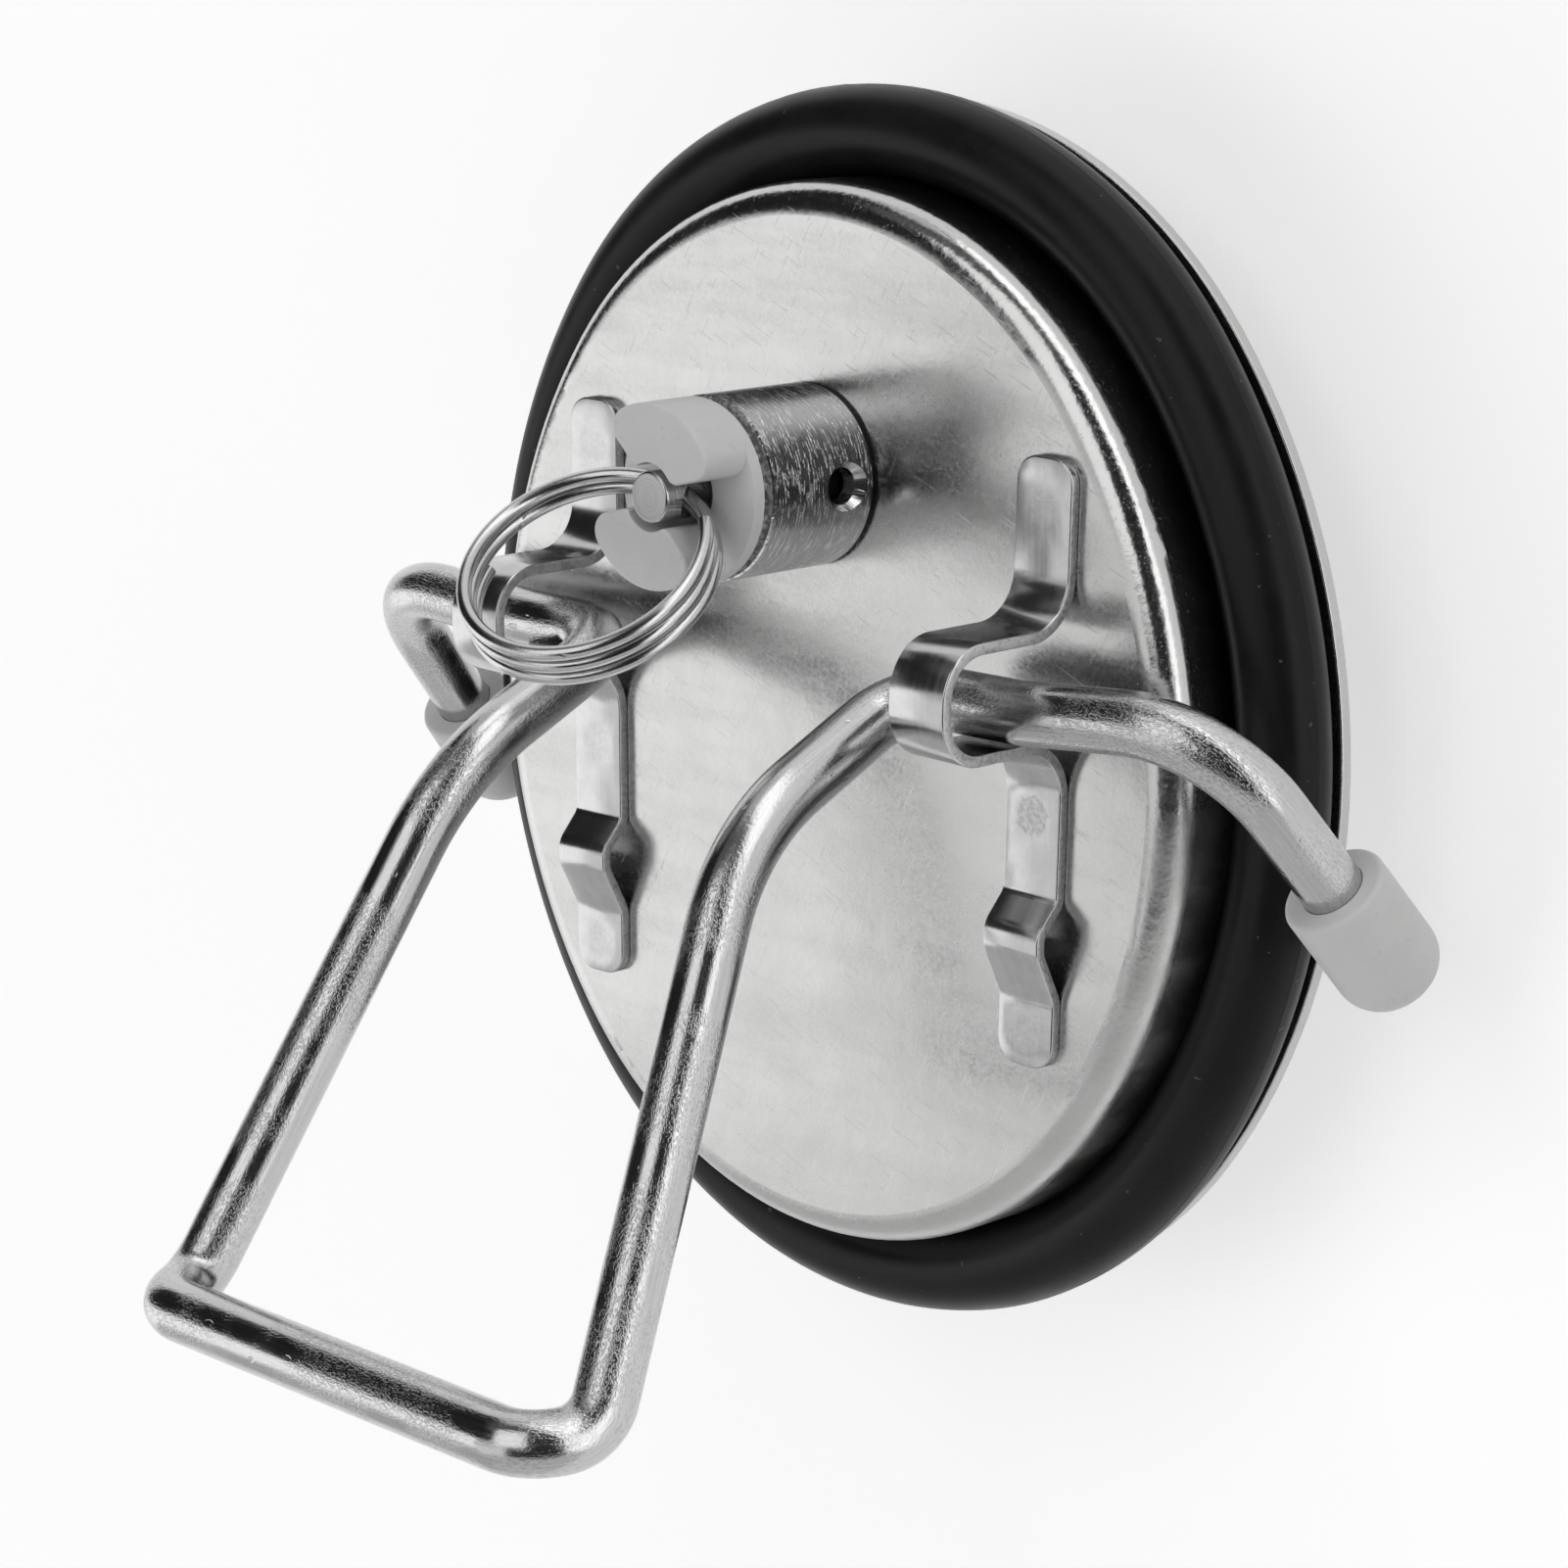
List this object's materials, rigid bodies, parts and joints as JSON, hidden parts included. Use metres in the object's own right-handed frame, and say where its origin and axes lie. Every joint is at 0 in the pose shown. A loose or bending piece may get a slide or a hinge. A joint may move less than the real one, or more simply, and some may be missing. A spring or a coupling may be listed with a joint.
{
  "type": "keg lid",
  "caption": "Oval pressed-steel keg lid with a round rubber gasket, a folding wire bail with foot caps, and a pull-ring pressure relief valve.",
  "frame": {"origin": "centre of the oval, in the plane of the flange's underside", "axes": "+Z out of the keg, square to the flange; +Y along the oval's long axis, towards the relief valve; +X along the bail's pivot line"},
  "size_m": [0.1298, 0.1193, 0.0798],
  "materials": {
    "pressed_steel": "pressed stainless sheet, satin with a fine grain",
    "polished_steel": "bright drawn stainless",
    "turned_steel": "turned, with fine rings",
    "spring_wire": "plain spring wire",
    "black_rubber": "smooth moulded rubber, slightly glossy",
    "foot_plastic": "soft light grey vinyl",
    "cap_plastic": "matte moulded plastic"
  },
  "bodies": {
    "lid": {"lid_shell": "pressed_steel", "lid_gasket": "black_rubber", "clip_left": "polished_steel", "clip_right": "polished_steel", "valve_boss": "turned_steel", "valve_gasket": "black_rubber", "valve_body": "turned_steel", "guide_washer": "turned_steel", "valve_cap": "cap_plastic", "valve_spring": "spring_wire"},
    "bail": {"bail_wire": "polished_steel", "foot_left": "foot_plastic", "foot_right": "foot_plastic"},
    "stem": {"valve_pin": "turned_steel", "poppet": "turned_steel", "poppet_seal": "black_rubber"},
    "ring": {"pull_ring": "polished_steel"}
  },
  "joints": [
    {"name": "bail_pivot", "type": "hinge", "parent": "lid", "child": "bail", "pos_m": [0, 0.0068, 0.0225], "axis": [0.9998, 0, 0.0209], "range_deg": [-120, 46]},
    {"name": "stem_lift", "type": "slide", "parent": "lid", "child": "stem", "axis": [0, 0, 1], "range_m": [0, 0.003], "stiffness_N_per_m": 1400, "springref_m": -0.0005, "deforming": ["valve_spring"]},
    {"name": "ring_swing", "type": "hinge", "parent": "stem", "child": "ring", "pos_m": [0, 0.0239, 0.0326], "axis": [0.9659, -0.2588, 0], "range_deg": [-90, 28]}
  ]
}
